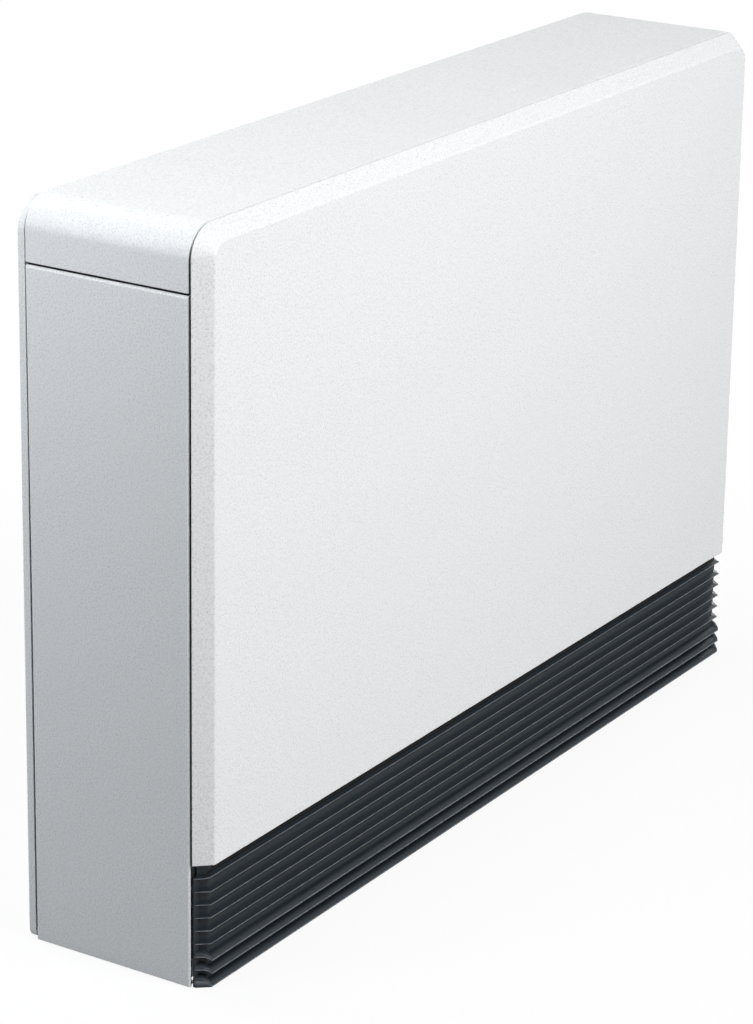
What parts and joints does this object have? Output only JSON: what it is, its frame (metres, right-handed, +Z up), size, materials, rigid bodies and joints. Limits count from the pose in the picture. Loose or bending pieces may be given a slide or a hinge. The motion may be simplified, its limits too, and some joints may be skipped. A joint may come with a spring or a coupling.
{
  "type": "storage heater",
  "caption": "Flat floor-standing storage heater with white sheet steel casing, bevelled front panel, dark finned outlet grille, brick core, heating elements and fan.",
  "frame": {"origin": "centre of the heater's outline on the floor, at the underside of the foot rails", "axes": "+X along the heater to its right end seen from the front, +Y from the front panel to the rear plate, +Z up"},
  "size_m": [0.955, 0.19, 0.672],
  "materials": {
    "white_paint": "satin",
    "slate_plastic": "satin",
    "galvanised_steel": "satin",
    "rail_paint": "matte",
    "insulation_board": "matte",
    "storage_brick": "matte",
    "element_steel": "satin",
    "white_ceramic": "matte",
    "aluminium_sheet": "satin",
    "bronze": "satin",
    "black_rubber": "matte",
    "light_plastic": "satin",
    "brown_plastic": "gloss",
    "red_plastic": "gloss",
    "dark_steel": "matte"
  },
  "bodies": {
    "casing": {"front_panel": "white_paint", "top_cover": "white_paint", "left_side_panel": "white_paint", "right_side_panel": "white_paint", "rear_plate": "white_paint", "knob_bezel": "slate_plastic", "base_tray": "galvanised_steel", "panel_brackets": "galvanised_steel", "panel_screws": "galvanised_steel", "casing_screws": "galvanised_steel", "rear_screws": "galvanised_steel", "inner_top_plate": "galvanised_steel", "inner_left_plate": "galvanised_steel", "partition_plate": "galvanised_steel", "core_shelf": "galvanised_steel", "air_duct": "galvanised_steel", "fan_housing": "galvanised_steel", "motor_bracket": "galvanised_steel", "fan_motor": "galvanised_steel", "inner_front_plate": "dark_steel", "left_foot_rail": "rail_paint", "right_foot_rail": "rail_paint", "insulation_front": "insulation_board", "insulation_rear": "insulation_board", "insulation_base": "insulation_board", "insulation_top": "insulation_board", "insulation_left": "insulation_board", "insulation_right": "insulation_board", "storage_bricks": "storage_brick", "heating_element_lower": "element_steel", "heating_element_middle": "element_steel", "heating_element_upper": "element_steel", "core_sensor": "element_steel", "element_bushes": "white_ceramic", "bimetal_strip": "bronze", "shaft_bearings": "bronze", "motor_coils": "bronze", "element_links": "bronze", "bearing_rubbers": "black_rubber", "cable_gland": "black_rubber", "terminal_block": "light_plastic", "safety_limiter": "brown_plastic", "charge_controller": "brown_plastic"},
    "grille": {"outlet_grille": "slate_plastic", "lint_filter": "slate_plastic"},
    "flap": {"mixing_flap": "aluminium_sheet", "flap_lever": "aluminium_sheet"},
    "fan": {"fan_shaft": "galvanised_steel", "fan_rotor_left": "aluminium_sheet", "fan_rotor_right": "aluminium_sheet", "motor_rotor": "galvanised_steel"},
    "knob": {"charge_knob": "slate_plastic", "knob_spindle": "galvanised_steel"},
    "reset": {"reset_button": "red_plastic"}
  },
  "joints": [
    {"name": "grille_pull", "type": "slide", "parent": "casing", "child": "grille", "axis": [0, -1, 0], "range_m": [0, 0.06]},
    {"name": "flap_swing", "type": "hinge", "parent": "casing", "child": "flap", "pos_m": [0, -0.006, 0.094], "axis": [1, 0, 0], "range_deg": [0, 50], "stiffness_Nm_per_rad": 0.1, "springref_deg": -34.38},
    {"name": "fan_spin", "type": "hinge", "parent": "casing", "child": "fan", "pos_m": [0, 0.042, 0.054], "axis": [1, 0, 0], "continuous": true},
    {"name": "knob_turn", "type": "hinge", "parent": "casing", "child": "knob", "pos_m": [0.4775, 0.02, 0.575], "axis": [-1, 0, 0], "range_deg": [0, 270]},
    {"name": "reset_push", "type": "slide", "parent": "casing", "child": "reset", "axis": [-1, 0, 0], "range_m": [0, 0.002], "stiffness_N_per_m": 300, "springref_m": -0.003}
  ]
}
